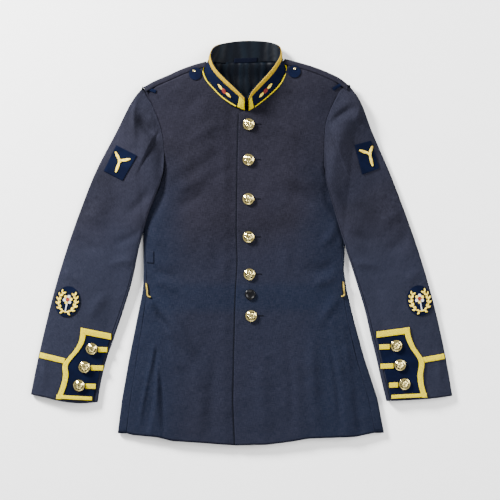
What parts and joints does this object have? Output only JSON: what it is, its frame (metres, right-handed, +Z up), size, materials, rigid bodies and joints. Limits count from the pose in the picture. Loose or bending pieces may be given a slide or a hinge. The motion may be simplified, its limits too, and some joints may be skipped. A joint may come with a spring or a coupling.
{
  "type": "band tunic",
  "caption": "Wool tunic with a stand collar, braid-trimmed slashed cuffs and brass buttons, laid flat on its back with the front up.",
  "frame": {"origin": "middle of the box, on the surface that the tunic lies on", "axes": "+Z up out of the front of the tunic, +Y from the hem toward the collar, +X toward the wearer's left sleeve"},
  "size_m": [0.8288, 0.7942, 0.0552],
  "materials": {
    "wool": "fine twill wool, soft and matt",
    "navy": "smooth navy facing cloth",
    "lining": "navy satin lining with a soft sheen",
    "braid": "gold woven braid with a metallic glint",
    "embroidery": "gold wire embroidery",
    "brass": "polished gilt brass",
    "black_button": "black, glossy, with a dished face"
  },
  "bodies": {
    "root": {"back": "wool", "front_right": "wool", "front_left": "wool", "under_sleeve_right": "wool", "top_sleeve_right": "wool", "under_sleeve_left": "wool", "top_sleeve_left": "wool", "waist_tab": "wool", "collar_stand": "navy", "hanger_loop": "navy", "eyelet_patch_right": "navy", "eyelet_patch_left": "navy", "strap_loop_right": "navy", "strap_loop_left": "navy", "rank_patch_right": "navy", "rank_patch_left": "navy", "cuff_badge_right": "navy", "cuff_badge_left": "navy", "cuff_panel_right": "navy", "cuff_panel_left": "navy", "collar_lining": "lining", "back_lining": "lining", "collar_braid": "braid", "collar_cord_right": "braid", "collar_cord_left": "braid", "cuff_border_right": "braid", "cuff_border_left": "braid", "cuff_band_right": "braid", "cuff_band_left": "braid", "cuff_loop_right_1": "braid", "cuff_loop_right_2": "braid", "cuff_loop_right_3": "braid", "cuff_loop_left_1": "braid", "cuff_loop_left_2": "braid", "cuff_loop_left_3": "braid", "collar_badge_right": "embroidery", "collar_badge_left": "embroidery", "rank_device_right": "embroidery", "rank_device_left": "embroidery", "cuff_wreath_right": "embroidery", "cuff_wreath_left": "embroidery", "front_button_1": "brass", "front_button_2": "brass", "front_button_3": "brass", "front_button_4": "brass", "front_button_5": "brass", "front_button_6": "brass", "cuff_button_right_1": "brass", "cuff_button_right_2": "brass", "cuff_button_right_3": "brass", "cuff_button_left_1": "brass", "cuff_button_left_2": "brass", "cuff_button_left_3": "brass", "eyelet_right": "brass", "eyelet_left": "brass", "belt_hook_right": "brass", "belt_hook_left": "brass", "spare_button": "black_button"}
  },
  "joints": []
}
